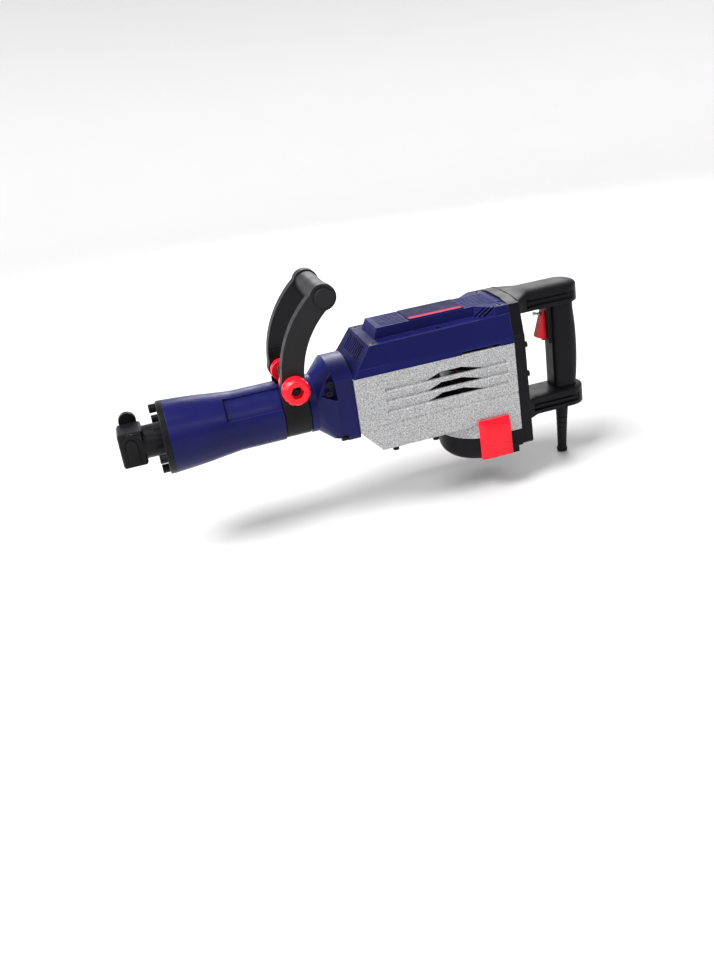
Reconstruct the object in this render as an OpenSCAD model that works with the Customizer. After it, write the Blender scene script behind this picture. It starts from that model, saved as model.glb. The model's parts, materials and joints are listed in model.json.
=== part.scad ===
// Electric demolition hammer lying along X. The mouth of the tool socket is at X = 0, the rear
// grip is at the +X end, +Z is up, and the hammer axis is the X axis. Lengths are millimetres.

/* [Nose and tool socket] */
// Width across the flats of the hexagonal tool socket
socket_af = 30; // [28:0.5:30.5]
// Depth of the hexagonal tool socket
socket_depth = 128; // [126:1:129]
// Half of the width of the forged nose block
nose_half = 20.5; // [20:0.5:22]
// Height of the retainer pin's axis above the hammer axis
pin_z = 15; // [15:0.5:15.5]
// Radius of the retainer pin
pin_r = 6.5; // [5.5:0.5:6.5]

/* [Barrel] */
// Outer radius of the barrel at the front flange
barrel_front_r = 46.5; // [46:0.1:47]
// Outer radius of the straight rear half of the barrel
barrel_rear_r = 38.5; // [38:0.1:39]
// Radius of the neck that the side-handle band grips
neck_r = 33.4; // [33:0.1:33.5]
// Number of screws in the front flange
flange_screw_count = 6; // [4:1:6]

/* [Hammer mechanism] */
// Bore radius of the hammer cylinder
cylinder_bore_r = 26; // [25:0.5:26.5]
// Distance from the crank axis to the crank pin
crank_throw = 17; // [14:0.5:17]
// Distance between the two eyes of the connecting rod
rod_length = 92.4; // [92.4:0.1:93]

/* [Gears] */
// Teeth on the motor pinion
pinion_teeth = 12; // [12:1:12]
// Teeth on the large idler wheel
idler_teeth = 48; // [48:1:48]
// Module of the first gear pair
fast_module = 1.25; // [1.25:0.05:1.25]
// Teeth on the small idler wheel
idler_pinion_teeth = 14; // [14:1:14]
// Teeth on the crank gear
crank_teeth = 35; // [35:1:35]
// Module of the second gear pair
slow_module = 2.25; // [2.25:0.05:2.25]

/* [Housings] */
// Half of the width of the silver housing
housing_half = 56; // [55:0.5:57]
// Wall thickness of the housings and covers
wall = 4; // [3:0.5:4.5]
// Height of the seam between the housing and the top cover
seam_z = 36.5; // [36:0.5:37]
// Height of the flat top of the cover
cover_top_z = 87; // [86:0.5:89]

/* [Rear handle] */
// Half of the width of the handle arms
arm_half = 25; // [23:0.5:26]
// Distance of the arms' rear ends from the origin
arm_end_x = 624; // [620:1:632]
// Forward lean of the rear grip from bottom to top, in degrees
grip_lean = 1; // [0:0.5:3]

/* [Side handle] */
// Radius of the side handle's grip
side_grip_r = 14.5; // [13:0.5:15]
// Radius of the clamping knob
knob_r = 17; // [15:0.5:18]

/* [Hidden] */
$fn = 64;
gap = 0.3;
fit = 0.05;
blue = [0.16, 0.17, 0.42];
silver = [0.74, 0.74, 0.74];
black = [0.13, 0.13, 0.14];
steel = [0.55, 0.56, 0.58];
dark_steel = [0.28, 0.28, 0.30];
red = [0.95, 0.16, 0.22];
copper = [0.72, 0.42, 0.24];

// Stations along the hammer axis
nose_back_x = 30;
flange_x = 53;
barrel_x = 61;
collar_back_x = 67;
sleeve_back_x = 130;
cylinder_x = 152;
band_x = 203;
band_back_x = 238;
housing_x = 293;
housing_back_x = 508;
cover_back_x = 507.9;
cover_half = 53.5;
rear_back_x = 523;
barrel_taper = [[barrel_front_r, 61], [45.3, 81], [42.9, 107], [41.3, 120], [38.9, 142]];
sleeve_r = 24;
cylinder_r = 30;
bolt_r = 15;
screw_ring_r = 39;
screw_r = 3.2;

// Motor, idler and crank axes, all vertical
motor_x = 470;
idler_x = motor_x - fast_module * (pinion_teeth + idler_teeth) / 2;
crank_x = idler_x - slow_module * (idler_pinion_teeth + crank_teeth) / 2;
piston_pin_x = crank_x - crank_throw - rod_length;
pressure_angle = 25;
gear_slow_z = 40;
gear_fast_z = 54;
deck_z = 26;
motor_shaft_r = 8;
bulge_r = 58;
bowl_z = -83;
bowl_bottom_z = -117;
brush_z = -84;
corner_x = 277;
corner_z = -41;
housing_screw_x = [337, 392];
cover_screw_places = [[327, -42, 70.6], [415, -39, 71.2], [500, -38, 83.6]];

// Rear handle
upper_arm_z = [63, 92];
lower_arm_z = [-83, -56];
rear_screw_y = 49;
rear_screw_z = [29, -11];
grip_x = 599;
trigger_pivot = [590, 57];
trigger_half = 5;
guard_top = [595, -83];
guard_lean = atan(5 / 75);
guard_length = 75;

// Side handle
bolt_x = 219;
bolt_z = 43;
bolt_shank_r = 6;
arm_inner_y = 40;
arm_outer_y = 54;
arm_arc_r = 128.5;
arm_arc_angle = 54;
side_grip_x = bolt_x + arm_arc_r * (1 - cos(arm_arc_angle));
side_grip_z = bolt_z + arm_arc_r * sin(arm_arc_angle);

// ---- Building blocks ----

// Straight round bar along X, Y or Z
module xbar(x0, x1, r) translate([x0, 0, 0]) rotate([0, 90, 0]) cylinder(h = x1 - x0, r = r);
module ybar(x, z, y0, y1, r) translate([x, y0, z]) rotate([-90, 0, 0]) cylinder(h = y1 - y0, r = r);
module zbar(x, y, z0, z1, r) translate([x, y, z0]) cylinder(h = z1 - z0, r = r);

// Box from its lowest corner to its highest corner
module block(low, high) translate(low) cube(high - low);

// Outline of X and Z points, as thick as from y0 to y1
module side_plate(points, y0, y1) {
    translate([0, y1, 0]) rotate([90, 0, 0]) linear_extrude(y1 - y0) polygon(points);
}

// Any outline of Y and Z, as long as from x0 to x1
module along_x(x0, x1) translate([x0, 0, 0]) rotate([90, 0, 90]) linear_extrude(x1 - x0) children();

// Outline of radius and X points, turned about the hammer axis
module turned(points) rotate([0, 90, 0]) rotate_extrude() polygon(points);

// Rectangle with round corners, centred
module round_rect(w, h, r) {
    square([w - 2 * r, h], center = true);
    square([w, h - 2 * r], center = true);
    for (sx = [-1, 1]) {
        for (sy = [-1, 1]) {
            translate([sx * (w / 2 - r), sy * (h / 2 - r)]) circle(r = r);
        }
    }
}

// Both sides of the machine
module both_sides() {
    children();
    mirror([0, 1, 0]) children();
}

// Socket-head screw with its head at the origin's +Z side and its shank towards -Z
module socket_screw(head_r, head_h, shank_r, shank_l) {
    difference() {
        cylinder(h = head_h, r = head_r);
        translate([0, 0, head_h * 0.4]) cylinder(h = head_h, r = head_r * 0.52, $fn = 6);
    }
    translate([0, 0, -shank_l]) cylinder(h = shank_l, r = shank_r);
}

// ---- Involute gears ----

function involute_angle(r, base_r) = let (t = acos(base_r / r)) tan(t) * 180 / PI - t;
function polar(r, a) = [r * cos(a), r * sin(a)];

// One flank's radii from the base circle to the tip
function flank_radii(low, high, steps) = [for (i = [0:steps]) low + (high - low) * i / steps];

// Gear outline with a tooth centred on the +X axis
function gear_points(m, teeth) =
    let (pitch_r = m * teeth / 2)
    let (base_r = pitch_r * cos(pressure_angle))
    let (tip_r = pitch_r + 0.85 * m)
    let (root_r = pitch_r - 1.2 * m)
    let (half_tooth = 90 / teeth - 0.06 * 180 / PI * m / pitch_r)
    let (half_base = half_tooth + involute_angle(pitch_r, base_r))
    let (radii = flank_radii(max(base_r, root_r + 0.01), tip_r, 4))
    [for (i = [0:teeth - 1])
        let (mid = 360 * i / teeth)
        each concat(
            [polar(root_r, mid - half_base)],
            [for (r = radii) polar(r, mid - half_base + involute_angle(r, base_r))],
            [for (k = [4:-1:0]) polar(radii[k], mid + half_base - involute_angle(radii[k], base_r))],
            [polar(root_r, mid + half_base)])];

module gear(m, teeth, h, bore_r, turn = 0) {
    difference() {
        rotate(turn) linear_extrude(h) polygon(gear_points(m, teeth));
        translate([0, 0, -1]) cylinder(h = h + 2, r = bore_r);
    }
}

// ---- Nose ----

module hex_socket() {
    rotate([0, 90, 0]) rotate(30) translate([0, 0, -1]) {
        cylinder(h = socket_depth + 2, r = socket_af / sqrt(3), $fn = 6);
    }
}

module front_cap() {
    color(dark_steel) difference() {
        union() {
            hull() {
                along_x(2, nose_back_x - 2) round_rect(2 * nose_half, 45, 3, $fn = 16);
                along_x(0, nose_back_x) round_rect(2 * nose_half - 4, 41, 3, $fn = 16);
            }
            turned([[0, nose_back_x - 3], [20.8, nose_back_x - 3],
                [20.8, barrel_x], [sleeve_r, barrel_x], [sleeve_r, collar_back_x], [0, collar_back_x]]);
            both_sides() ybar(15, 7.5, nose_half - 2, nose_half, 13.5);
        }
        hex_socket();
        ybar(15, pin_z, -nose_half - 5, nose_half + 5, pin_r + fit);
    }
}

module retainer_lever() {
    near = nose_half + gap;
    color(black) {
        difference() {
            ybar(15, pin_z, -near, near, pin_r);
            block([0, -17.5, pin_z - pin_r - 1], [30, 17.5, socket_af / 2]);
        }
        difference() {
            union() {
                ybar(15, 7.5, -near - 2, -near, 11);
                ybar(15, pin_z, -near - 2, -near, pin_r + 0.5);
            }
            ybar(15, 7.5, -near - 3, -near - 1, 9);
        }
        ybar(15, 7.5, -near - 4, -near, 6);
        block([9, -near - 4, -19], [21, -near, 7.5]);
        ybar(15, 24, near, near + 7, 11);
        ybar(15, pin_z, near, near + 3, pin_r + 0.5);
    }
}

// ---- Barrel ----

module at_flange_screws() {
    for (i = [0:flange_screw_count - 1]) {
        a = 20 + 360 * i / flange_screw_count;
        translate([flange_x, screw_ring_r * cos(a), screw_ring_r * sin(a)]) {
            rotate([0, -90, 0]) children();
        }
    }
}

module front_flange() {
    color(dark_steel) difference() {
        turned([[20.8 + fit, flange_x], [45.7, flange_x], [46.7, flange_x + 1],
            [46.7, barrel_x], [20.8 + fit, barrel_x]]);
        at_flange_screws() translate([0, 0, -10]) cylinder(h = 12, r = screw_r + fit);
    }
}

module flange_screws() {
    color(black) at_flange_screws() socket_screw(5.6, 9, screw_r, 26);
}

// Shallow pocket in the barrel's upper side, between two angles from the horizontal
module barrel_pocket() {
    rotate([0, 90, 0]) rotate([0, 0, 202]) rotate_extrude(angle = 48) {
        polygon([[35.8, 134], [50, 130], [50, band_x + 1], [35.8, band_x + 1]]);
    }
}

module barrel() {
    color(blue) difference() {
        turned(concat([[sleeve_r + fit, barrel_x]], barrel_taper, [[barrel_rear_r, 146],
            [barrel_rear_r, band_x], [neck_r, band_x], [neck_r, band_back_x],
            [cylinder_r + fit, band_back_x], [cylinder_r + fit, sleeve_back_x],
            [sleeve_r + fit, sleeve_back_x]]));
        both_sides() barrel_pocket();
        at_flange_screws() translate([0, 0, -27]) cylinder(h = 28, r = screw_r + fit);
    }
}

module shank_sleeve() {
    color(steel) difference() {
        xbar(collar_back_x, socket_depth, sleeve_r);
        hex_socket();
    }
}

module bolt_bush() {
    color(copper) difference() {
        xbar(sleeve_back_x, cylinder_x - 6, cylinder_r);
        xbar(sleeve_back_x - 1, cylinder_x, bolt_r + fit);
    }
}

module damper_ring() {
    color(black) difference() {
        xbar(cylinder_x - 6, cylinder_x, cylinder_r - 1);
        xbar(cylinder_x - 7, cylinder_x + 1, bolt_r + 4);
    }
}

module impact_bolt() {
    color(steel) turned([[0, 104], [12, 104], [13.2, 106], [13.2, 133], [bolt_r, 135],
        [bolt_r, 154], [18, 154], [18, 162], [16, 164], [0, 164]]);
}

// ---- Hammer mechanism ----

module ring_groove(x) {
    difference() {
        xbar(x, x + 3, cylinder_bore_r + 1);
        xbar(x - 1, x + 4, cylinder_bore_r - 2.5);
    }
}

module seal_ring(x) {
    color(black) difference() {
        xbar(x + 0.1, x + 2.9, cylinder_bore_r - fit);
        xbar(x, x + 3, cylinder_bore_r - 2.4);
    }
}

module striker() {
    color(steel) difference() {
        turned([[0, 178], [19, 178], [21, 181], [cylinder_bore_r - fit, 184],
            [cylinder_bore_r - fit, 230], [0, 230]]);
        ring_groove(206);
    }
}

module striker_ring() seal_ring(206);

module cylinder_tube() {
    color(steel) difference() {
        xbar(cylinder_x, 310, cylinder_r);
        xbar(cylinder_x - 1, 311, cylinder_bore_r);
    }
}

module piston() {
    color(steel) difference() {
        xbar(240, 284, cylinder_bore_r - fit);
        ring_groove(246);
        block([256, -10, -9], [290, 10, 9]);
        block([274, -16, -9], [290, 16, 9]);
        zbar(piston_pin_x, 0, -19, 19, 5 + fit);
    }
}

module piston_ring() seal_ring(246);

module piston_pin() {
    color(steel) zbar(piston_pin_x, 0, -18, 18, 5);
}

module connecting_rod() {
    eye_x = piston_pin_x + rod_length;
    color(dark_steel) difference() {
        union() {
            zbar(piston_pin_x, 0, -8, 8, 9);
            zbar(eye_x, 0, -8, 8, 15);
            block([piston_pin_x, -6, -6], [eye_x, 6, 6]);
        }
        zbar(piston_pin_x, 0, -9, 9, 5 + fit);
        zbar(eye_x, 0, -9, 9, 8);
    }
}

module crank_pin() {
    color(steel) zbar(piston_pin_x + rod_length, 0, -8, 9.6, 8);
}

module crank_shaft() {
    color(steel) difference() {
        union() {
            zbar(crank_x, 0, 10, 24, 30);
            zbar(crank_x, 0, 10, 56, 9);
        }
        // Lightening cut opposite the crank pin keeps the disc in balance
        zbar(crank_x + crank_throw, 0, 12, 25, 7);
    }
}

module crank_gear() {
    color(dark_steel) translate([crank_x, 0, gear_slow_z]) {
        gear(slow_module, crank_teeth, 11, 9);
    }
}

module crank_bearing() {
    color(steel) difference() {
        zbar(crank_x, 0, deck_z, deck_z + 10, 17.5);
        zbar(crank_x, 0, deck_z - 1, deck_z + 11, 9);
    }
}

module idler_gear() {
    color(dark_steel) translate([idler_x, 0, 0]) {
        translate([0, 0, gear_fast_z]) gear(fast_module, idler_teeth, 9, 6 + fit);
        translate([0, 0, gear_slow_z]) {
            gear(slow_module, idler_pinion_teeth, 14, 6 + fit, 180 / idler_pinion_teeth + 180);
        }
    }
}

module idler_shaft() {
    color(steel) zbar(idler_x, 0, deck_z, 68, 6);
}

// Plate that carries the three vertical shafts
module gear_deck() {
    color(silver) difference() {
        union() {
            block([311, -housing_half + wall, deck_z], [500, housing_half - wall, deck_z + 10]);
            for (x = [322, 494]) {
                both_sides() zbar(x, 43, deck_z + 9, 58, 4);
            }
        }
        zbar(crank_x, 0, deck_z - 1, deck_z + 11, 17.5);
        zbar(motor_x, 0, deck_z - 1, deck_z + 11, 16);
        zbar(idler_x, 0, deck_z - 1, deck_z + 11, 6);
    }
}

// ---- Blue casting behind the barrel ----

// Cross-section of the casting, flat-sided with an arched top
module casting_section() {
    intersection() {
        translate([0, -18.3]) circle(r = 75.3, $fn = 96);
        translate([0, 6]) round_rect(100, 104, 10, $fn = 32);
    }
}

module crankcase() {
    pocket = [[246, 21], [271, 12], [269, 47]];
    color(blue) difference() {
        union() {
            xbar(band_back_x, 252, 37.5);
            hull() {
                xbar(247, 248, 37.4, $fn = 48);
                along_x(268, 269) casting_section();
            }
            along_x(268, housing_x) casting_section();
        }
        xbar(band_back_x - 1, housing_x + 1, cylinder_r + fit);
        both_sides() side_plate(pocket, 37, 60);
        both_sides() {
            block([262, 30, -60], [corner_x, 60, -35]);
            translate([0, 40, corner_z]) xbar(corner_x - 1, corner_x + 10, 3 + fit);
        }
    }
}

module crankcase_bolts() {
    color(black) both_sides() {
        for (p = [[262, 22], [265, 34]]) {
            translate([p[0], 41, p[1]]) rotate([-90, 0, 0]) socket_screw(3.6, 4, 2.2, 4);
        }
        translate([corner_x, 40, corner_z]) rotate([0, -90, 0]) socket_screw(4.8, 8, 3, 9);
    }
}

// ---- Silver housing ----

module louvre_cuts() {
    for (z = [12.8, -1.3, -15.4]) {
        along_x(330, 496) polygon([[-housing_half - 1, z + 7.6], [-housing_half, z + 7.2],
            [-housing_half + 2.9, z + 0.6], [-housing_half, z - 1.6], [-housing_half - 1, z - 1.6]]);
        side_plate([[386, z + 0.3], [404, z + 9], [434, z + 9], [463, z + 0.3]],
            -housing_half - 1, -housing_half + wall + 1);
    }
    along_x(319, housing_back_x + 1) polygon([[-housing_half - 1, -29.5], [-housing_half, -29.5],
        [-housing_half + 0.9, -31], [-housing_half, -34], [-housing_half - 1, -34]]);
}

module motor_housing() {
    half = housing_half;
    foot = [[housing_x, seam_z], [housing_x, -37], [319, -66.5], [housing_back_x, -66.5],
        [housing_back_x, seam_z]];
    color(silver) {
        difference() {
            union() {
                intersection() {
                    side_plate(foot, -half, half);
                    translate([0, 0, -15]) along_x(housing_x, housing_back_x) {
                        round_rect(2 * half, 103.1, 5);
                    }
                }
                side_plate([[housing_x, seam_z], [housing_x, 20], [housing_back_x, 20],
                    [housing_back_x, seam_z]], -half, half);
                intersection() {
                    zbar(motor_x, 0, bowl_z, -60, bulge_r);
                    block([housing_x, -60, bowl_z], [housing_back_x, 60, -60]);
                }
                block([motor_x, -half, bowl_z], [housing_back_x, half, -60]);
            }
            side_plate([[housing_x + wall, seam_z + 1], [housing_x + wall, -35.5],
                [320.5, -66.5 + wall], [housing_back_x + 1, -66.5 + wall],
                [housing_back_x + 1, seam_z + 1]], -half + wall, half - wall);
            xbar(housing_x - 1, housing_x + wall + 1, cylinder_r + fit);
            zbar(motor_x, 0, bowl_z - 1, -58, bulge_r - wall);
            block([motor_x, -half + wall, bowl_z - 1], [housing_back_x + 1, half - wall, -60]);
            both_sides() {
                louvre_cuts();
                for (x = housing_screw_x) {
                    zbar(x, 44, -70, -60, 2 + fit);
                }
            }
        }
        both_sides() block([motor_x - 3, 46, -64], [motor_x + 3, half - wall + 1, -10]);
    }
}

module housing_screws() {
    color(black) both_sides() {
        for (x = housing_screw_x) {
            translate([x, 44, -66.5]) rotate([180, 0, 0]) socket_screw(4, 6.5, 2, 3.9);
        }
    }
}

// ---- Blue top cover ----

// Corner points of the cover's outer form, drawn in by a margin
function cover_points(d, low) = [for (s = [-1, 1]) each [
    [housing_x + 0.1 + 1.3 * d, s * (cover_half - d), low],
    [cover_back_x, s * (cover_half - d), low],
    [housing_x + 3.5 + d, s * (cover_half - d), 41],
    [cover_back_x, s * (cover_half - d), 48],
    [320 + 0.8 * d, s * (49 - d), 73 - d],
    [cover_back_x, s * (49 - d), 75 - d]]];

// Corner points of the skirt along the cover's lower edge
skirt_points = [for (s = [-1, 1]) each [
    [housing_x + 0.1, s * housing_half, seam_z + 0.05], [cover_back_x, s * housing_half, seam_z + 0.05],
    [housing_x + 2.3, s * housing_half, 39.5], [cover_back_x, s * housing_half, 39.5],
    [housing_x + 7.2, s * (cover_half - 0.4), 46], [cover_back_x, s * (cover_half - 0.4), 46]]];

// Small cubes at the corners of a hulled form
module corner_hull(points) {
    hull() {
        for (p = points) {
            translate(p) cube(0.1, center = true);
        }
    }
}

function raised_points(d) = [for (s = [-1, 1]) each [
    [327 + d, s * (30 - d), 60], [cover_back_x, s * (30 - d), 60],
    [338 + d, s * (26.5 - d), cover_top_z - d], [cover_back_x, s * (26.5 - d), cover_top_z - d]]];

function flare_points(d) = [for (s = [-1, 1]) each [
    [466 + d, s * (30 - d), 60], [490 + d, s * (49 - d), 60], [cover_back_x, s * (49 - d), 60],
    [470 + d, s * (26.5 - d), cover_top_z - d], [489 + d, s * (46 - d), 86 - d],
    [cover_back_x, s * (46 - d), 86 - d]]];

// Slot cut across the cover's front slope
module front_vent(y) {
    translate([311.4, y, 61.2]) rotate([0, -54, 0]) cube([21, 3.6, 12], center = true);
}

// Sloping slot through the flare's front wall, on the -Y side
module flare_slot(shift) {
    translate([478.5, -37.5, 80]) rotate([0, 0, -38]) translate([shift, 0, 0]) {
        rotate([0, -40, 0]) cube([19, 9, 2.4], center = true);
    }
}

module top_cover() {
    inner = wall - 1;
    color(blue) difference() {
        union() {
            corner_hull(cover_points(0, seam_z + 0.05));
            corner_hull(skirt_points);
            corner_hull(raised_points(0));
            corner_hull(flare_points(0));
        }
        corner_hull(cover_points(inner, seam_z - 1));
        corner_hull(raised_points(inner));
        corner_hull(flare_points(inner));
        for (y = [-30:7.5:30]) {
            front_vent(y);
        }
        both_sides() {
            for (shift = [-6, 0, 6]) {
                flare_slot(shift);
            }
            block([436, -housing_half - 1, seam_z - 1], [490, -cover_half + wall, 40.5]);
            for (p = cover_screw_places) {
                zbar(p[0], p[1], p[2], p[2] + 20, 5.1);
                zbar(p[0], p[1], p[2] - 20, p[2] + 1, 1.8 + fit);
            }
        }
        for (y = [-21:6:21]) {
            block([345, y - 1.2, cover_top_z - 1.2], [379, y + 1.2, cover_top_z + 1]);
            block([460, y - 1.2, cover_top_z - 1.2], [500, y + 1.2, cover_top_z + 1]);
        }
    }
}

module cover_screws() {
    color(black) both_sides() {
        for (p = cover_screw_places) {
            translate(p) socket_screw(4.8, 2.1, 1.8, 12);
        }
    }
}

module label_plate() {
    color([0.10, 0.10, 0.30]) translate([419.5, 0, cover_top_z + 0.05]) {
        linear_extrude(1.2) round_rect(75, 50, 2);
    }
}

// ---- Motor cover and brush covers ----

module motor_cover() {
    bowl = [[0, bowl_bottom_z], [46, bowl_bottom_z], [50, -115.6], [54, -111.5], [56.5, -106],
        [bulge_r, -98], [bulge_r, bowl_z], [0, bowl_z]];
    color(black) difference() {
        union() {
            intersection() {
                translate([motor_x, 0, 0]) rotate_extrude() polygon(bowl);
                block([housing_x, -60, bowl_bottom_z], [504, 60, bowl_z]);
            }
            block([motor_x, -51, bowl_bottom_z], [504, 51, bowl_z]);
            block([motor_x, -housing_half, -106], [housing_back_x, housing_half, bowl_z]);
        }
        zbar(motor_x, 0, bowl_bottom_z + wall, bowl_z + 1, 46);
        block([motor_x, -43, bowl_bottom_z + wall], [502, 43, bowl_z + 1]);
        for (x = [446:8:494]) {
            block([x - 1.5, -24, bowl_bottom_z - 1], [x + 1.5, 24, bowl_bottom_z + wall + 1]);
        }
    }
}

// Red cover over one carbon brush, on the -Y side
module brush_cover() {
    difference() {
        hull() {
            block([447, -60, -112], [490, -bulge_r - gap, -57]);
            block([459, -66, -110], [489, -65, -70]);
        }
        block([455, -62, -106], [486, -bulge_r + 1, -76]);
    }
}

module brush_cover_left() color(red) brush_cover();

module brush_cover_right() color(red) mirror([0, 1, 0]) brush_cover();

// ---- Motor ----

module armature_shaft() {
    color(steel) translate([motor_x, 0, 0]) {
        translate([0, 0, -112]) cylinder(h = 112 + gear_fast_z, r = motor_shaft_r);
        translate([0, 0, gear_fast_z - 0.1]) {
            rotate(180 / pinion_teeth) linear_extrude(9.6) polygon(gear_points(fast_module, pinion_teeth));
        }
    }
}

module armature_core() {
    slots = 12;
    color(copper) difference() {
        union() {
            zbar(motor_x, 0, -66, -8, 27);
            zbar(motor_x, 0, -73, 0, 23);
        }
        zbar(motor_x, 0, -74, 1, motor_shaft_r);
        for (i = [0:slots - 1]) {
            translate([motor_x, 0, -66.5]) rotate(360 * i / slots) translate([25, -1.5, 0]) {
                cube([4, 3, 59]);
            }
        }
    }
}

module commutator() {
    bars = 24;
    color(copper) difference() {
        zbar(motor_x, 0, -94, -74, 17);
        zbar(motor_x, 0, -95, -73, motor_shaft_r);
        for (i = [0:bars - 1]) {
            translate([motor_x, 0, -95]) rotate(360 * i / bars) translate([16.2, -0.3, 0]) {
                cube([2, 0.6, 22]);
            }
        }
    }
}

module cooling_fan() {
    blades = 14;
    color(black) difference() {
        union() {
            zbar(motor_x, 0, 6, 8, 44);
            zbar(motor_x, 0, 6, 18, 13);
            for (i = [0:blades - 1]) {
                translate([motor_x, 0, 7.9]) rotate(360 * i / blades) translate([14, -1, 0]) {
                    rotate([0, 0, 18]) cube([28, 2, 10]);
                }
            }
        }
        zbar(motor_x, 0, 5, 19, motor_shaft_r);
    }
}

module stator() {
    color(dark_steel) difference() {
        zbar(motor_x, 0, -66, -8, 46);
        zbar(motor_x, 0, -67, -7, 27.8);
        both_sides() block([motor_x - 14, 27, -67], [motor_x + 14, 36, -7]);
    }
}

module motor_bearings() {
    color(steel) {
        difference() {
            zbar(motor_x, 0, bowl_bottom_z + wall, -102, 16);
            zbar(motor_x, 0, -114, -101, motor_shaft_r);
        }
        difference() {
            zbar(motor_x, 0, deck_z, deck_z + 10, 16);
            zbar(motor_x, 0, deck_z - 1, deck_z + 11, motor_shaft_r);
        }
    }
}

module brushes() {
    color(dark_steel) both_sides() {
        difference() {
            block([motor_x - 4, 14, brush_z - 7], [motor_x + 4, 34, brush_z + 7]);
            zbar(motor_x, 0, -95, -73, 17.1);
        }
    }
}

module brush_springs() {
    color(steel) both_sides() {
        difference() {
            ybar(motor_x, brush_z, 34, 43.5, 3.4);
            ybar(motor_x, brush_z, 33, 44, 2.4);
        }
    }
}

module brush_holders() {
    color(copper) both_sides() {
        difference() {
            block([motor_x - 7, 21, brush_z - 9.5], [motor_x + 7, 45.4, brush_z + 9.5]);
            block([motor_x - 4.1, 20, brush_z - 7.1], [motor_x + 4.1, 43.5, brush_z + 7.1]);
        }
    }
}

// ---- Rear housing and D handle ----

module rear_housing() {
    half = housing_half;
    color(black) difference() {
        union() {
            along_x(housing_back_x, rear_back_x) {
                polygon([[-half, -103], [-half + 3, -106], [half - 3, -106], [half, -103],
                    [half, 46], [-half, 46]]);
            }
            hull() {
                block([housing_back_x, -half + 1, 45], [rear_back_x, half - 1, 46]);
                block([housing_back_x, -48, 74], [rear_back_x, 48, 75]);
                block([housing_back_x, -46, 85], [rear_back_x, 46, 86]);
                block([housing_back_x, -20, 89], [rear_back_x, 20, 90]);
            }
        }
        block([housing_back_x - 1, -half + wall, -102], [rear_back_x - wall, half - wall, 41]);
        block([housing_back_x - 1, -42, 40], [rear_back_x - wall, 42, 82]);
        both_sides() {
            for (z = rear_screw_z) {
                translate([0, -rear_screw_y, z]) xbar(rear_back_x - 5, rear_back_x + 1, 2 + fit);
            }
        }
    }
}

module rear_screws() {
    color(black) both_sides() {
        for (z = rear_screw_z) {
            translate([rear_back_x, -rear_screw_y, z]) rotate([0, 90, 0]) {
                socket_screw(4, 4.5, 2, 3.9);
            }
        }
    }
}

// Cross-section of an arm: flat below, with a low crown on top
function arm_outline(half, low, edge, top) = concat([[half, low], [half, edge]],
    [for (a = [15:15:165]) [half * cos(a), edge + (top - edge) * sin(a)]],
    [[-half, edge], [-half, low]]);

// Right half of that outline, for the round end
function arm_half_outline(half, low, edge, top) = concat([[0, low], [half, low], [half, edge]],
    [for (a = [15:15:90]) [half * cos(a), edge + (top - edge) * sin(a)]]);

// Arm from the rear housing to a round end, with a ribbed channel and a screw boss on each side
module arm(low, edge, top, root_half, root_low) {
    turn_x = arm_end_x - arm_half;
    difference() {
        union() {
            hull() {
                along_x(rear_back_x, rear_back_x + 1) {
                    polygon(arm_outline(root_half, root_low, edge, top - 1));
                }
                along_x(546, 547) polygon(arm_outline(arm_half, low, edge, top));
            }
            along_x(546, turn_x) polygon(arm_outline(arm_half, low, edge, top));
            translate([turn_x, 0, 0]) rotate_extrude() {
                polygon(arm_half_outline(arm_half, low, edge, top));
            }
        }
        both_sides() {
            block([541, arm_half - 4, low + 5], [turn_x + 14, arm_half + 9, low + 16]);
        }
    }
    both_sides() {
        block([540, arm_half - 5, low + 9], [turn_x + 5, arm_half - 1.4, low + 12]);
        translate([0, arm_half - 4, low + 10.5]) xbar(540, 549, 4);
    }
}

module upper_arm() {
    color(black) arm(upper_arm_z[0], 84.5, upper_arm_z[1], 46, upper_arm_z[0] + 7);
}

module lower_arm() {
    color(black) difference() {
        arm(lower_arm_z[0], -60, lower_arm_z[1], 34, lower_arm_z[0] - 3);
        translate([guard_top[0], 0, guard_top[1]]) rotate([0, guard_lean, 0]) {
            translate([0, 0, -0.1]) cylinder(h = 17, r = 8 + fit);
            translate([0, 0, -3]) cylinder(h = 3, r = 9.6);
        }
    }
}

// Solid grip between the arms, leaning forward at the bottom, with a palm swell behind
module grip_form(inset) {
    swell_r = 420;
    intersection() {
        translate([grip_x, 0, 0]) rotate([0, grip_lean, 0]) {
            translate([0, 0, -90]) linear_extrude(180) {
                round_rect(35 - 2 * inset, 33 - 2 * inset, 13 - inset);
                translate([-4, 0]) round_rect(27 - 2 * inset, 33 - 2 * inset, 7 - inset);
            }
            translate([6 - swell_r, 0, 0]) rotate([90, 0, 0]) rotate([0, 0, -14]) {
                rotate_extrude(angle = 28, $fn = 300) translate([swell_r, 0]) {
                    round_rect(30 - 2 * inset, 31.5 - 2 * inset, 13.5 - inset);
                }
            }
        }
        block([540, -30, -56 + inset], [650, 30, upper_arm_z[0] - inset]);
    }
}

module grip_shell() {
    difference() {
        union() {
            grip_form(0);
            both_sides() block([576.5, trigger_half + 0.6, 8], [592, 11.5, upper_arm_z[0]]);
        }
        grip_form(3);
        block([560, -trigger_half - 0.6, 6], [598, trigger_half + 0.6, upper_arm_z[0] - 1]);
        ybar(trigger_pivot[0], trigger_pivot[1], -15.6, 15.6, 2 + fit);
    }
}

module grip_left() {
    color(black) intersection() {
        grip_shell();
        block([540, -40, -70], [650, -0.02, 80]);
    }
}

module grip_right() {
    color(black) intersection() {
        grip_shell();
        block([540, 0.02, -70], [650, 40, 80]);
    }
}

module switch_block() {
    color(dark_steel) {
        block([599, -8, 10], [608, 8, 48]);
        ybar(trigger_pivot[0], trigger_pivot[1], -15.5, 15.5, 2);
    }
}

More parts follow.
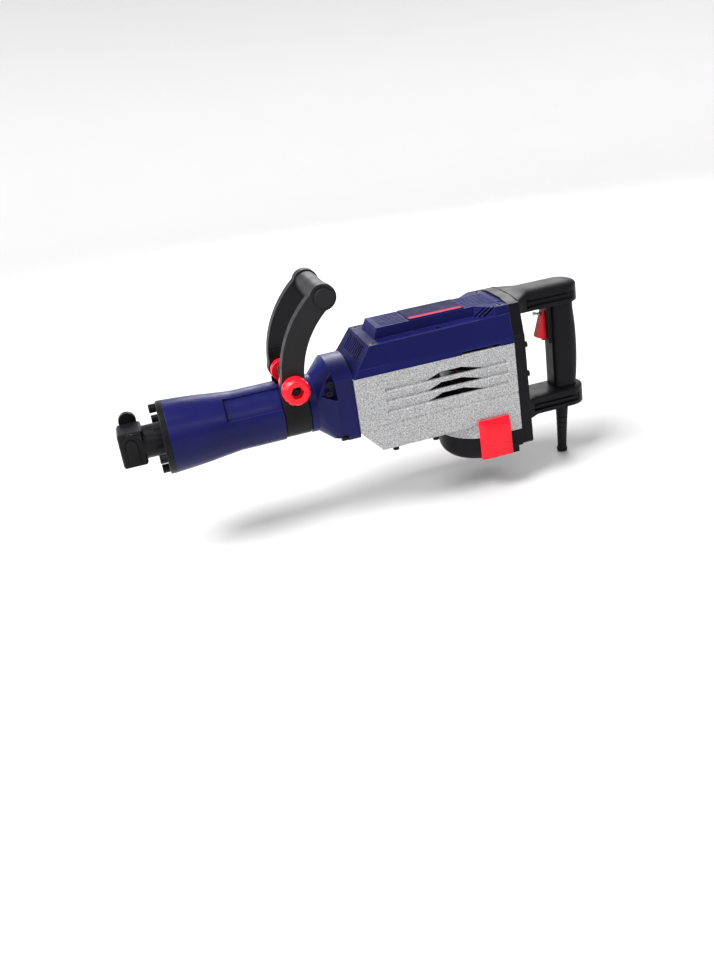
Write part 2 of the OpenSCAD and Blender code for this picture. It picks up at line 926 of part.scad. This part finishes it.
module trigger() {
    color(red) difference() {
        side_plate([[573, 50], [580, 60], [592, 60.5], [594, 52], [588, 14], [575, 12.5], [562.5, 18]],
            -trigger_half, trigger_half);
        ybar(trigger_pivot[0], trigger_pivot[1], -10, 10, 2 + fit);
        lock_pin_bar(-3, 26, 2 + fit);
    }
}

// Bar on the lock pin's axis, from one distance to another behind the pin's front end
module lock_pin_bar(start, end, r) {
    translate([563, 0, 50.5]) rotate([0, 103, 0]) translate([0, 0, start]) {
        cylinder(h = end - start, r = r);
    }
}

module lock_pin() {
    color(steel) {
        lock_pin_bar(0, 20, 2);
        lock_pin_bar(-1, 1, 2.6);
    }
}

module cord_guard() {
    color(black) translate([guard_top[0], 0, guard_top[1]]) rotate([0, guard_lean, 0]) {
        rotate([180, 0, 0]) difference() {
            rotate_extrude() {
                polygon([[4.6, -3], [8, -3], [8, 0], [9.5, 0], [8.6, 8], [7.4, 30], [6.2, 66],
                    [6.6, 70], [7.4, 72], [7.2, guard_length], [4.6, guard_length]]);
            }
            for (i = [0:4]) {
                translate([0, 0, 22 + 8 * i]) difference() {
                    cylinder(h = 1.6, r = 12);
                    translate([0, 0, -1]) cylinder(h = 4, r = 6.1);
                }
            }
        }
    }
}

// ---- Side handle ----

module clamp_band() {
    inner = neck_r + gap;
    outer = inner + 3;
    color(black) difference() {
        union() {
            xbar(band_x + 1.5, band_back_x - 2.5, outer);
            block([band_x + 1.5, -outer, 0], [band_back_x - 2.5, outer, bolt_z - 8]);
            block([bolt_x - 13, -outer, 0], [bolt_x + 13, outer, bolt_z + 26]);
        }
        xbar(band_x, band_back_x, inner);
        block([band_x, -inner, 0], [band_back_x, inner, bolt_z + 30]);
        ybar(bolt_x, bolt_z, -50, 50, bolt_shank_r + fit);
    }
}

module clamp_bolt() {
    color(dark_steel) {
        ybar(bolt_x, bolt_z, -63, arm_outer_y, bolt_shank_r);
        ybar(bolt_x, bolt_z, -67, -62, 3.6);
        ybar(bolt_x, bolt_z, arm_outer_y - 0.2, arm_outer_y + 6, 10, $fn = 6);
    }
}

module band_washers() {
    color(red) both_sides() {
        difference() {
            ybar(bolt_x, bolt_z, 23, neck_r, 14.3);
            ybar(bolt_x, bolt_z, 22, 40, bolt_shank_r + fit);
        }
    }
}

// Curved arm on the -Y side
module side_arm() {
    difference() {
        union() {
            translate([bolt_x + arm_arc_r, -arm_inner_y, bolt_z]) rotate([90, 0, 0]) {
                rotate([0, 0, 181 - arm_arc_angle]) rotate_extrude(angle = arm_arc_angle) {
                    translate([arm_arc_r - 14, 0]) square([28, 13.5]);
                }
            }
            ybar(bolt_x, bolt_z, -arm_outer_y + 1, -arm_inner_y + 2, 15.5);
            ybar(side_grip_x, side_grip_z, -arm_outer_y, -arm_inner_y - 0.5, 16.5);
        }
        ybar(bolt_x, bolt_z, -60, -30, bolt_shank_r + fit);
        ybar(side_grip_x, side_grip_z, -60, -30, 8 + fit);
        ybar(side_grip_x, side_grip_z, -60, -arm_outer_y + 2, 12);
    }
}

module side_arm_left() color(black) side_arm();

module side_arm_right() color(black) mirror([0, 1, 0]) side_arm();

module side_grip() {
    color(black) {
        ybar(side_grip_x, side_grip_z, -arm_inner_y, arm_inner_y, side_grip_r);
        ybar(side_grip_x, side_grip_z, -arm_outer_y + 1, arm_outer_y - 1, 8);
        both_sides() ybar(side_grip_x, side_grip_z, arm_outer_y - 2, arm_outer_y + 5, 11.5);
    }
}

// Fluted clamping knob on the -Y side, with the bolt's end in its hexagonal pocket
module knob_left() {
    flutes = 10;
    near = arm_outer_y + 0.7;
    depth = 18;
    color(red) difference() {
        translate([bolt_x, -near, bolt_z]) rotate([90, 0, 0]) {
            rotate_extrude() {
                polygon([[0, 0], [knob_r - 2, 0], [knob_r, 2], [knob_r, depth - 4],
                    [knob_r - 3, depth], [0, depth]]);
            }
        }
        ybar(bolt_x, bolt_z, -near - depth - 1, -near + 1, bolt_shank_r + fit);
        translate([bolt_x, -63, bolt_z]) rotate([90, 0, 0]) cylinder(h = 20, r = 8.5, $fn = 6);
        for (i = [0:flutes - 1]) {
            a = 360 * i / flutes;
            ybar(bolt_x + (knob_r + 2) * cos(a), bolt_z + (knob_r + 2) * sin(a),
                -near - depth - 1, -near - 6, 3.2, $fn = 24);
        }
    }
}

front_cap();
retainer_lever();
front_flange();
flange_screws();
barrel();
shank_sleeve();
bolt_bush();
damper_ring();
impact_bolt();
striker();
striker_ring();
cylinder_tube();
piston();
piston_ring();
piston_pin();
connecting_rod();
crank_pin();
crank_shaft();
crank_gear();
crank_bearing();
idler_gear();
idler_shaft();
gear_deck();
crankcase();
crankcase_bolts();
motor_housing();
housing_screws();
top_cover();
cover_screws();
label_plate();
motor_cover();
brush_cover_left();
brush_cover_right();
armature_shaft();
armature_core();
commutator();
cooling_fan();
stator();
motor_bearings();
brushes();
brush_springs();
brush_holders();
rear_housing();
rear_screws();
upper_arm();
lower_arm();
grip_left();
grip_right();
switch_block();
trigger();
lock_pin();
cord_guard();
clamp_band();
clamp_bolt();
band_washers();
side_arm_left();
side_arm_right();
side_grip();
knob_left();
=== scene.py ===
"""Looks of the electric demolition hammer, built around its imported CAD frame. All lengths are metres."""

import json
import math

import bpy
from mathutils import Matrix, Vector


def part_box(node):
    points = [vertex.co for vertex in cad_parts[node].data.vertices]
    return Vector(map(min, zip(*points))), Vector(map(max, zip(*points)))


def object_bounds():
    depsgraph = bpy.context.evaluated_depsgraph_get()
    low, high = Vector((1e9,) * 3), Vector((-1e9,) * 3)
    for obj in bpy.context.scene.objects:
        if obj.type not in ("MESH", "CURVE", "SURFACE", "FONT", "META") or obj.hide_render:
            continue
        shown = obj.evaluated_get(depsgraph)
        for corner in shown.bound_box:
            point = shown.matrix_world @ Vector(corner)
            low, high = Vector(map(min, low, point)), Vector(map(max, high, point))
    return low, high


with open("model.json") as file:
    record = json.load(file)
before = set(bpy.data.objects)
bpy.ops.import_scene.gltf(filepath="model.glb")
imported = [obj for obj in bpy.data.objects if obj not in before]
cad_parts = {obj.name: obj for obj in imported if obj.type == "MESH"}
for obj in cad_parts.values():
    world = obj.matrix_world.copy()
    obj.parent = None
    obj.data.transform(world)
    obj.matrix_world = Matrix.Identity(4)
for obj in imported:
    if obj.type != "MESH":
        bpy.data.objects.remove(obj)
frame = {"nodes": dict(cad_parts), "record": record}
cad_low, cad_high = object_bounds()
scene = bpy.context.scene
MM = 0.001

# ---------------------------------------------------------------------------
# Camera: seen from the front left and above, with the hammer axis tipped up to the right
# ---------------------------------------------------------------------------
CAMERA_TARGET = Vector((0.3125, 0.0, 0.0))
CAMERA_DISTANCE = 1.197
CAMERA_AZIMUTH = -12.7
CAMERA_ELEVATION = 20.5
CAMERA_ROLL = 8.8
CAMERA_LENS = 33.9
CAMERA_SHIFT = (-0.0042, -0.0989)


def make_camera():
    azimuth = math.radians(CAMERA_AZIMUTH)
    elevation = math.radians(CAMERA_ELEVATION)
    roll = math.radians(CAMERA_ROLL)
    back = Vector((math.sin(azimuth) * math.cos(elevation), -math.cos(azimuth) * math.cos(elevation),
                   math.sin(elevation)))
    right = Vector((math.cos(azimuth), math.sin(azimuth), 0.0))
    up = back.cross(right)
    rolled_right = right * math.cos(roll) - up * math.sin(roll)
    rolled_up = right * math.sin(roll) + up * math.cos(roll)
    data = bpy.data.cameras.new("camera")
    data.sensor_width = 36.0
    data.lens = CAMERA_LENS
    data.shift_x, data.shift_y = CAMERA_SHIFT
    data.clip_start = 0.01
    camera = bpy.data.objects.new("camera", data)
    scene.collection.objects.link(camera)
    turn = Matrix((rolled_right, rolled_up, back)).transposed().to_4x4()
    camera.matrix_world = Matrix.Translation(CAMERA_TARGET + back * CAMERA_DISTANCE) @ turn
    scene.camera = camera


make_camera()


# ---------------------------------------------------------------------------
# Studio: a soft key from above, two fills on the near side, a rim behind, and a sweeping floor
# ---------------------------------------------------------------------------
FLOOR_GAP = 0.5 * MM
FLOOR_FRONT = -9.0
FLOOR_HALF_WIDTH = 12.0
SWEEP_START = 3.0
SWEEP_RADIUS = 3.0
SWEEP_STEPS = 18
WALL_TOP = 9.0
WORLD_STRENGTH = 0.22


def area_light(name, place, aim, size, power):
    data = bpy.data.lights.new(name, "AREA")
    data.shape = "RECTANGLE"
    data.size, data.size_y = size
    data.energy = power
    light = bpy.data.objects.new(name, data)
    scene.collection.objects.link(light)
    light.location = place
    light.rotation_euler = (Vector(aim) - Vector(place)).to_track_quat("-Z", "Y").to_euler()


def sun_light(name, direction, strength, softness):
    data = bpy.data.lights.new(name, "SUN")
    data.energy = strength
    data.angle = math.radians(softness)
    light = bpy.data.objects.new(name, data)
    scene.collection.objects.link(light)
    light.rotation_euler = Vector(direction).to_track_quat("-Z", "Y").to_euler()


def make_studio():
    sun_light("key", (0.50, 0.12, -0.95), 4.6, 30)
    area_light("left_box", (-1.1, -0.35, 0.75), (0.25, 0, 0.03), (0.5, 0.9), 9)
    area_light("strip", (0.45, -1.15, 0.95), (0.35, 0, 0.02), (1.6, 0.22), 5)
    area_light("rim", (0.9, 1.5, 0.9), (0.4, 0, 0), (1.4, 0.7), 20)
    world = bpy.data.worlds.new("studio")
    world.use_nodes = True
    background = world.node_tree.nodes["Background"]
    background.inputs["Color"].default_value = (1.0, 1.0, 1.0, 1.0)
    background.inputs["Strength"].default_value = WORLD_STRENGTH
    scene.world = world
    scene.view_settings.view_transform = "Standard"


def make_backdrop():
    """Floor that sweeps up into a wall far behind the tool."""
    z = cad_low[2] - FLOOR_GAP
    profile = [(FLOOR_FRONT, 0.0), (SWEEP_START, 0.0)]
    for step in range(1, SWEEP_STEPS + 1):
        angle = math.radians(90 / SWEEP_STEPS * step)
        profile.append((SWEEP_START + SWEEP_RADIUS * math.sin(angle), SWEEP_RADIUS * (1 - math.cos(angle))))
    profile.append((SWEEP_START + SWEEP_RADIUS, WALL_TOP))
    corners = [(x, y, z + up) for x in (-FLOOR_HALF_WIDTH, FLOOR_HALF_WIDTH) for y, up in profile]
    count = len(profile)
    faces = [(i, i + count, i + count + 1, i + 1) for i in range(count - 1)]
    mesh = bpy.data.meshes.new("backdrop")
    mesh.from_pydata(corners, [], faces)
    mesh.shade_smooth()
    backdrop = bpy.data.objects.new("backdrop", mesh)
    scene.collection.objects.link(backdrop)
    backdrop.data.materials.append(materials["floor"])


# ---------------------------------------------------------------------------
# Procedural materials. Noise scales are per metre; grain and bump depths are in metres.
# ---------------------------------------------------------------------------
BLUE = (0.007, 0.008, 0.078)
COVER_BLUE = (0.007, 0.008, 0.080)
BLACK = (0.0055, 0.005, 0.0065)
RED = (0.93, 0.007, 0.022)
LABEL_BLUE = (0.006, 0.005, 0.045)
LABEL_RED = (0.42, 0.02, 0.08)
STRIPE_FROM_EDGE = 2.5 * MM
STRIPE_WIDTH = 8 * MM
STRIPE_END_MARGIN = 2 * MM
# Agreement of the rounded and the true normal where an edge starts to show, and where it shows in full
EDGE_FLAT = 0.98
EDGE_FULL = 0.75


class Finish:
    """One material: a Principled shader, and short calls for the nodes that feed it."""

    def __init__(self, name, colour, roughness, metallic=0.0, **sockets):
        self.material = bpy.data.materials.new(name)
        self.material.use_nodes = True
        self.tree = self.material.node_tree
        self.shader = self.tree.nodes["Principled BSDF"]
        self.set("Base Color", (*colour, 1.0))
        self.set("Roughness", roughness)
        self.set("Metallic", metallic)
        for socket, value in sockets.items():
            self.set(socket.replace("_", " "), value)
        self.position = self.node("ShaderNodeTexCoord").outputs["Object"]

    def set(self, socket, value):
        if hasattr(value, "is_linked"):
            self.tree.links.new(value, self.shader.inputs[socket])
        else:
            self.shader.inputs[socket].default_value = value

    def node(self, kind, inputs=(), **settings):
        made = self.tree.nodes.new(kind)
        for key, value in settings.items():
            setattr(made, key, value)
        for key, value in dict(inputs).items():
            if hasattr(value, "is_linked"):
                self.tree.links.new(value, made.inputs[key])
            else:
                made.inputs[key].default_value = value
        return made

    def noise(self, scale, detail=4.0, roughness=0.55, stretch=(1.0, 1.0, 1.0)):
        placed = self.node("ShaderNodeMapping", {"Vector": self.position, "Scale": stretch})
        made = self.node("ShaderNodeTexNoise", {"Vector": placed.outputs["Vector"], "Scale": scale,
                                                "Detail": detail, "Roughness": roughness})
        return made.outputs["Fac"]

    def cells(self, scale):
        made = self.node("ShaderNodeTexVoronoi", {"Vector": self.position, "Scale": scale},
                         feature="SMOOTH_F1")
        return made.outputs["Distance"]

    def spread(self, value, low, high, out_low=0.0, out_high=1.0):
        made = self.node("ShaderNodeMapRange", {"Value": value, "From Min": low, "From Max": high,
                                                "To Min": out_low, "To Max": out_high})
        return made.outputs["Result"]

    def math(self, operation, a, b):
        return self.node("ShaderNodeMath", {0: a, 1: b}, operation=operation).outputs[0]

    def mix(self, factor, a, b):
        made = self.node("ShaderNodeMix", {"Factor": factor, "A": (*a, 1.0) if isinstance(a, tuple) else a,
                                           "B": (*b, 1.0) if isinstance(b, tuple) else b}, data_type="RGBA")
        return made.outputs["Result"]

    def edges(self, radius):
        """1 along convex and concave edges, 0 on flat ground."""
        soft = self.node("ShaderNodeBevel", {"Radius": radius}, samples=4)
        true = self.node("ShaderNodeNewGeometry")
        dot = self.node("ShaderNodeVectorMath", {0: soft.outputs["Normal"], 1: true.outputs["Normal"]},
                        operation="DOT_PRODUCT")
        return self.spread(dot.outputs["Value"], EDGE_FLAT, EDGE_FULL)

    def bump(self, height, distance):
        inputs = {"Height": height, "Distance": distance, "Strength": 1.0}
        return self.node("ShaderNodeBump", inputs).outputs["Normal"]


def scaled(colour, factor):
    return tuple(min(1.0, c * factor) for c in colour)


def worn_finish(name, colour, roughness, grain, grain_depth, wear_and_highlight_colour, wear_and_highlight=0.5, **sockets):
    """A moulded or painted surface: fine grain, slow colour drift, handling marks, and a lighter colour on
    its edges that is partly wear and partly a painted highlight.
    """
    finish = Finish(name, colour, roughness, **sockets)
    drift = finish.spread(finish.noise(14.0, 3.0), 0.3, 0.7)
    toned = finish.mix(drift, scaled(colour, 0.86), scaled(colour, 1.14))
    # Edges take the lighter colour: partly wear, partly a painted highlight where the edges catch the light;
    # the noise never falls below a quarter, so every edge keeps some painted highlight.
    scuff_and_highlight_patches = finish.spread(finish.noise(160.0, 6.0, 0.7), 0.35, 0.70, 0.25, 1.0)
    edge_wear_and_highlight = finish.math("MULTIPLY", finish.edges(1.1 * MM), finish.math("MULTIPLY", scuff_and_highlight_patches, wear_and_highlight))
    finish.set("Base Color", finish.mix(edge_wear_and_highlight, toned, wear_and_highlight_colour))
    smears = finish.noise(45.0, 5.0, 0.6, (1.0, 1.0, 2.5))
    finish.set("Roughness", finish.spread(smears, 0.3, 0.7, roughness - 0.07, roughness + 0.09))
    finish.set("Normal", finish.bump(finish.noise(grain, 3.0, 0.6), grain_depth))
    return finish.material


def hammertone(name):
    """Speckled silver paint: bright flakes on grey, with a lightly dimpled film."""
    finish = Finish(name, (0.56, 0.56, 0.57), 0.42, 0.25)
    fine = finish.noise(1300.0, 1.0, 0.5)
    coarse = finish.noise(480.0, 2.0, 0.5)
    speckle = finish.spread(finish.math("ADD", fine, finish.math("MULTIPLY", coarse, 0.5)), 0.60, 0.90)
    grey = finish.mix(speckle, (0.19, 0.19, 0.195), (0.71, 0.71, 0.72))
    # Edges are brightened almost to white, partly rubbed paint and partly a painted highlight on the louvre
    # lips and ledges where the light catches them.
    edge_patches = finish.spread(finish.noise(120.0), 0.4, 0.6, 0.35, 1.0)
    edge_wear_and_highlight = finish.math("MULTIPLY", finish.edges(1.3 * MM), edge_patches)
    finish.set("Base Color", finish.mix(edge_wear_and_highlight, grey, (0.88, 0.88, 0.89)))
    finish.set("Roughness", finish.spread(coarse, 0.3, 0.7, 0.36, 0.52))
    dimples = finish.cells(420.0)
    finish.set("Normal", finish.bump(finish.math("ADD", dimples, fine), 0.12 * MM))
    return finish.material


def machined(name, colour, roughness, grime=0.35):
    """Turned or ground metal: a fine uneven grain and a little grime."""
    finish = Finish(name, colour, roughness, 1.0)
    grain = finish.noise(700.0, 2.0, 0.5)
    blotch = finish.spread(finish.noise(60.0, 5.0, 0.65), 0.4, 0.75, 0.0, grime)
    finish.set("Base Color", finish.mix(blotch, scaled(colour, 1.1), scaled(colour, 0.35)))
    finish.set("Roughness", finish.spread(grain, 0.3, 0.7, roughness - 0.06, roughness + 0.12))
    finish.set("Normal", finish.bump(grain, 0.03 * MM))
    return finish.material


def forged(name, colour, roughness):
    """Black-oxide forging: pitted, with bright rubbed edges."""
    finish = Finish(name, colour, roughness, Specular_IOR_Level=0.14)
    pits = finish.noise(260.0, 5.0, 0.65)
    edge_patches = finish.math("MULTIPLY", finish.edges(0.7 * MM), finish.spread(finish.noise(130.0), 0.4, 0.6))
    toned = finish.mix(finish.spread(finish.noise(35.0), 0.35, 0.7), scaled(colour, 0.7), scaled(colour, 1.5))
    finish.set("Base Color", finish.mix(edge_patches, toned, (0.08, 0.08, 0.085)))
    finish.set("Roughness", finish.spread(pits, 0.3, 0.7, roughness - 0.1, roughness + 0.12))
    finish.set("Normal", finish.bump(pits, 0.18 * MM))
    return finish.material


def label_finish(name):
    """Dark plate with one pink-red stripe along its near edge, and no lettering."""
    low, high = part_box("label_plate")
    finish = Finish(name, LABEL_BLUE, 0.62, Specular_IOR_Level=0.06)
    place = finish.node("ShaderNodeSeparateXYZ", {"Vector": finish.position})

    def between(axis, start, end):
        return finish.math("MULTIPLY", finish.math("GREATER_THAN", place.outputs[axis], start),
                           finish.math("LESS_THAN", place.outputs[axis], end))

    across = between("Y", low[1] + STRIPE_FROM_EDGE, low[1] + STRIPE_FROM_EDGE + STRIPE_WIDTH)
    along = between("X", low[0] + STRIPE_END_MARGIN, high[0] - STRIPE_END_MARGIN)
    finish.set("Base Color", finish.mix(finish.math("MULTIPLY", across, along), LABEL_BLUE, LABEL_RED))
    finish.set("Roughness", finish.spread(finish.noise(80.0), 0.3, 0.7, 0.56, 0.70))
    finish.set("Normal", finish.bump(finish.noise(900.0), 0.01 * MM))
    return finish.material


def floor_finish(name):
    finish = Finish(name, (0.60, 0.60, 0.60), 0.6)
    finish.set("Roughness", finish.spread(finish.noise(3.0), 0.3, 0.7, 0.55, 0.7))
    return finish.material


materials = {
    "floor": floor_finish("floor"),
    # On the blue paint and the blue cover the lighter edges are partly wear and partly a painted highlight
    # along edges that catch the light.
    "blue_paint": worn_finish("blue_paint", BLUE, 0.34, 330.0, 0.05 * MM, (0.10, 0.11, 0.34), wear_and_highlight=0.7,
                              Specular_IOR_Level=0.16),
    "blue_plastic": worn_finish("blue_plastic", COVER_BLUE, 0.55, 900.0, 0.03 * MM,
                                (0.10, 0.11, 0.36), wear_and_highlight=0.8, Specular_IOR_Level=0.10),
    "silver_hammertone": hammertone("silver_hammertone"),
    "black_plastic": worn_finish("black_plastic", BLACK, 0.42, 1300.0, 0.05 * MM, (0.07, 0.07, 0.08),
                                 Specular_IOR_Level=0.13),
    "side_handle_plastic": worn_finish("side_handle_plastic", (0.015, 0.015, 0.0165), 0.46, 1000.0, 0.06 * MM,
                                       (0.09, 0.09, 0.10), Specular_IOR_Level=0.2),
    "red_plastic": worn_finish("red_plastic", RED, 0.30, 800.0, 0.02 * MM, (0.95, 0.20, 0.24), wear_and_highlight=0.3,
                               Specular_IOR_Level=0.32),
    "black_steel": forged("black_steel", (0.0065, 0.0065, 0.0075), 0.36),
    "dark_steel": machined("dark_steel", (0.16, 0.16, 0.165), 0.40),
    "bright_steel": machined("bright_steel", (0.56, 0.56, 0.57), 0.24),
    "cast_aluminium": machined("cast_aluminium", (0.55, 0.56, 0.57), 0.45, grime=0.5),
    "bronze": machined("bronze", (0.58, 0.36, 0.14), 0.30),
    "copper": machined("copper", (0.68, 0.31, 0.16), 0.32),
    "rubber": worn_finish("rubber", (0.009, 0.009, 0.010), 0.60, 700.0, 0.06 * MM, (0.05, 0.05, 0.05),
                          Specular_IOR_Level=0.2),
    "dark_plastic": worn_finish("dark_plastic", (0.04, 0.04, 0.042), 0.5, 900.0, 0.05 * MM, (0.1, 0.1, 0.1)),
    "carbon": worn_finish("carbon", (0.03, 0.03, 0.035), 0.6, 700.0, 0.05 * MM, (0.08, 0.08, 0.08)),
    "label": label_finish("label"),
}


# ---------------------------------------------------------------------------
# CAD nodes: finish each one and ease its edges
# ---------------------------------------------------------------------------
slot_of_node = {row["node"]: row["material_slot"] for row in frame["record"]["subparts"]}

# Radius of the rounding on each node's hard edges, in millimetres
EDGE_RADIUS = {
    "barrel": 0.7, "crankcase": 1.6, "motor_housing": 1.2, "top_cover": 0.6, "rear_housing": 1.6,
    "upper_arm": 1.2, "lower_arm": 1.2, "grip_left": 0.6, "grip_right": 0.6, "motor_cover": 1.0,
    "brush_cover_left": 1.2, "brush_cover_right": 1.2, "front_cap": 0.7, "retainer_lever": 0.8,
    "front_flange": 0.5, "flange_screws": 0.5, "clamp_band": 0.7, "side_arm_left": 2.6,
    "side_arm_right": 2.6, "side_grip": 0.7, "knob_left": 0.8, "clamp_bolt": 0.5, "trigger": 1.2,
    "label_plate": 0.3, "rear_screws": 0.4, "housing_screws": 0.4, "crankcase_bolts": 0.4,
    "cover_screws": 0.3, "cord_guard": 0.4, "band_washers": 0.6, "lock_pin": 0.3,
}
DEFAULT_EDGE_RADIUS = 0.25
WELD_DISTANCE = 0.002 * MM
FLAT_ANGLE = math.radians(0.6)
HARD_EDGE_ANGLE = math.radians(28)


def ease_edges(piece, radius):
    """Joins the CAD mesh's faces into flats, rounds its hard edges and smooths its curves."""
    imported = piece.data.attributes.get("custom_normal")
    if imported is not None:
        piece.data.attributes.remove(imported)
    piece.data.shade_smooth()
    weld = piece.modifiers.new("weld", "WELD")
    weld.merge_threshold = WELD_DISTANCE
    flats = piece.modifiers.new("flats", "DECIMATE")
    flats.decimate_type = "DISSOLVE"
    flats.angle_limit = FLAT_ANGLE
    bevel = piece.modifiers.new("bevel", "BEVEL")
    bevel.width = radius
    bevel.segments = 3
    bevel.limit_method = "ANGLE"
    bevel.angle_limit = HARD_EDGE_ANGLE
    bevel.use_clamp_overlap = True
    normals = piece.modifiers.new("normals", "WEIGHTED_NORMAL")
    normals.mode = "FACE_AREA"
    normals.weight = 60


def finish_cad_nodes():
    for node, piece in frame["nodes"].items():
        piece.data.materials.clear()
        piece.data.materials.append(materials[slot_of_node[node]])
        ease_edges(piece, EDGE_RADIUS.get(node, DEFAULT_EDGE_RADIUS) * MM)


make_studio()
make_backdrop()
finish_cad_nodes()
